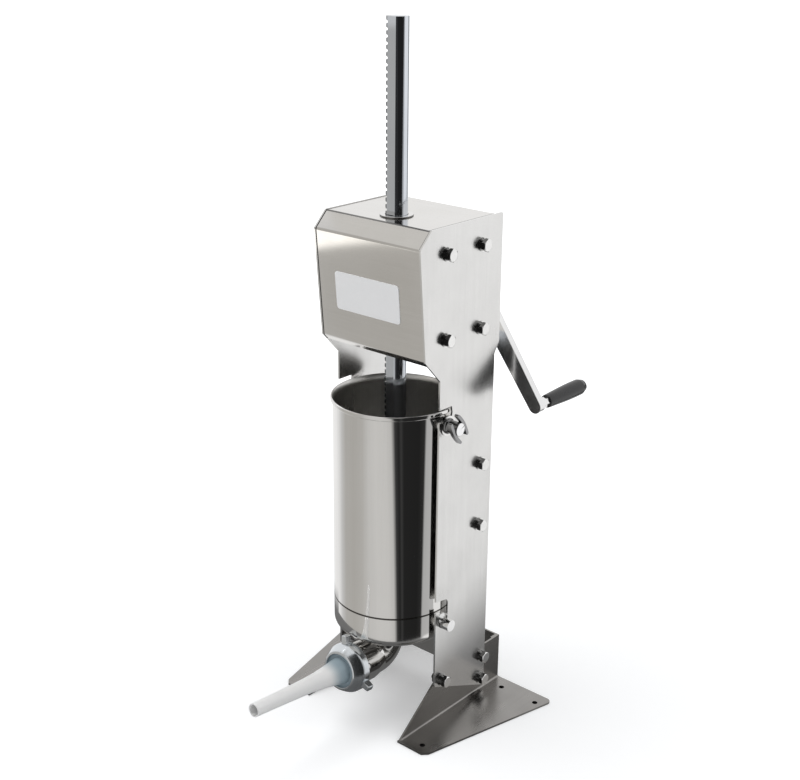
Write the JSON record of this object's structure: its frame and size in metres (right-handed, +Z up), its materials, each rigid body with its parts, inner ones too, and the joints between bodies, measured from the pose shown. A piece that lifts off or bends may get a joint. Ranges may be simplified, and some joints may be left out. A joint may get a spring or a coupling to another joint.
{
  "type": "vertical sausage stuffer",
  "caption": "Upright hand-cranked sausage stuffer: geared head on two steel columns drives a toothed bar and piston down a removable cylinder with an elbow outlet, ring nut and funnel.",
  "frame": {"origin": "on the surface that the feet stand on, under the middle of the whole machine's outline seen from above", "axes": "+Z up along the cylinder and the toothed bar, -Y towards the funnel's tip, +X to the right seen from the funnel's side, towards the column beside the crank"},
  "size_m": [0.4094, 0.5573, 1.052],
  "materials": {
    "column_steel": "satin brushed stainless sheet",
    "foot_steel": "darker satin stainless sheet",
    "casing_steel": "polished warm grey stainless sheet",
    "mirror_steel": "mirror polished stainless",
    "plated_steel": "bright plated",
    "zinc_steel": "bright zinc plated",
    "cast_zinc": "cast and tumbled",
    "gear_steel": "oiled machined steel",
    "block_alloy": "milled",
    "bronze": "oiled bronze",
    "seal_rubber": "food-grade silicone",
    "funnel_plastic": "translucent milky white",
    "grip_plastic": "gloss black",
    "valve_plastic": "white plastic"
  },
  "bodies": {
    "frame": {"side_plate_left": "column_steel", "side_plate_right": "column_steel", "foot_left": "foot_steel", "foot_right": "foot_steel", "base_rear_wall": "foot_steel", "base_tie": "casing_steel", "column_brace": "casing_steel", "head_bolts": "zinc_steel", "brace_bolts": "zinc_steel", "foot_bolts": "zinc_steel", "flat_washers": "zinc_steel", "spring_washers": "zinc_steel", "frame_nuts": "zinc_steel", "head_cover": "casing_steel", "head_rear_panel": "casing_steel", "rear_panel_screws": "zinc_steel", "label_plate": "mirror_steel", "rack_guide_ring": "mirror_steel", "upper_guide_block": "block_alloy", "lower_guide_block": "block_alloy", "front_bearing_plate": "block_alloy", "rear_bearing_plate": "block_alloy", "bearing_plate_screws": "zinc_steel", "upper_rack_bush": "bronze", "lower_rack_bush": "bronze", "front_pinion_bush": "bronze", "rear_pinion_bush": "bronze", "front_crank_bush": "bronze", "rear_crank_bush": "bronze", "cylinder_tube": "mirror_steel", "cylinder_cup": "mirror_steel", "trunnion_pin_left": "plated_steel", "trunnion_pin_right": "plated_steel", "clamp_stud_left": "plated_steel", "clamp_stud_right": "plated_steel", "clamp_washer": "zinc_steel", "outlet_elbow": "mirror_steel", "outlet_gasket": "seal_rubber", "funnel": "funnel_plastic"},
    "rack": {"rack_bar": "plated_steel", "piston": "block_alloy", "piston_seal": "seal_rubber", "piston_washer": "zinc_steel", "piston_nut": "zinc_steel"},
    "air_valve": {"air_valve": "valve_plastic"},
    "pinion": {"pinion_shaft": "gear_steel", "large_wheel": "gear_steel", "wheel_key": "gear_steel", "wheel_clip": "gear_steel"},
    "crank": {"crank_shaft": "gear_steel", "crank_arm": "plated_steel", "crank_washer": "zinc_steel", "crank_screw": "zinc_steel", "grip_spindle": "plated_steel"},
    "grip": {"grip": "grip_plastic"},
    "clamp_knob": {"clamp_knob": "plated_steel"},
    "ring_nut": {"ring_nut": "cast_zinc"}
  },
  "joints": [
    {"name": "rack_slide", "type": "slide", "parent": "frame", "child": "rack", "axis": [0, 0, 1], "range_m": [-0.228, 0.14]},
    {"name": "pinion_turn", "type": "hinge", "parent": "frame", "child": "pinion", "pos_m": [-0.0289, 0.06407, 0.6815], "axis": [0, -1, 0], "range_deg": [-727, 447]},
    {"name": "crank_turn", "type": "hinge", "parent": "frame", "child": "crank", "pos_m": [0.02963, 0.10407, 0.6683], "axis": [0, 1, 0], "range_deg": [-2179, 1338]},
    {"name": "grip_spin", "type": "hinge", "parent": "crank", "child": "grip", "pos_m": [0.15722, 0.23107, 0.49587], "axis": [0, 1, 0], "continuous": true},
    {"name": "air_valve_lift", "type": "slide", "parent": "rack", "child": "air_valve", "axis": [0, 0, 1], "range_m": [0, 0.003]},
    {"name": "clamp_knob_turn", "type": "hinge", "parent": "frame", "child": "clamp_knob", "pos_m": [0.112, 0.02207, 0.4895], "axis": [1, 0, 0], "range_deg": [0, 540]},
    {"name": "ring_nut_turn", "type": "hinge", "parent": "frame", "child": "ring_nut", "pos_m": [0, -0.08853, 0.09689], "axis": [0, -0.9954, 0.0958], "range_deg": [0, 540]}
  ],
  "couplings": [
    {"joint": "pinion_turn", "follows": "rack_slide", "rad_per_m": 55.556},
    {"joint": "crank_turn", "follows": "rack_slide", "rad_per_m": 166.67}
  ]
}
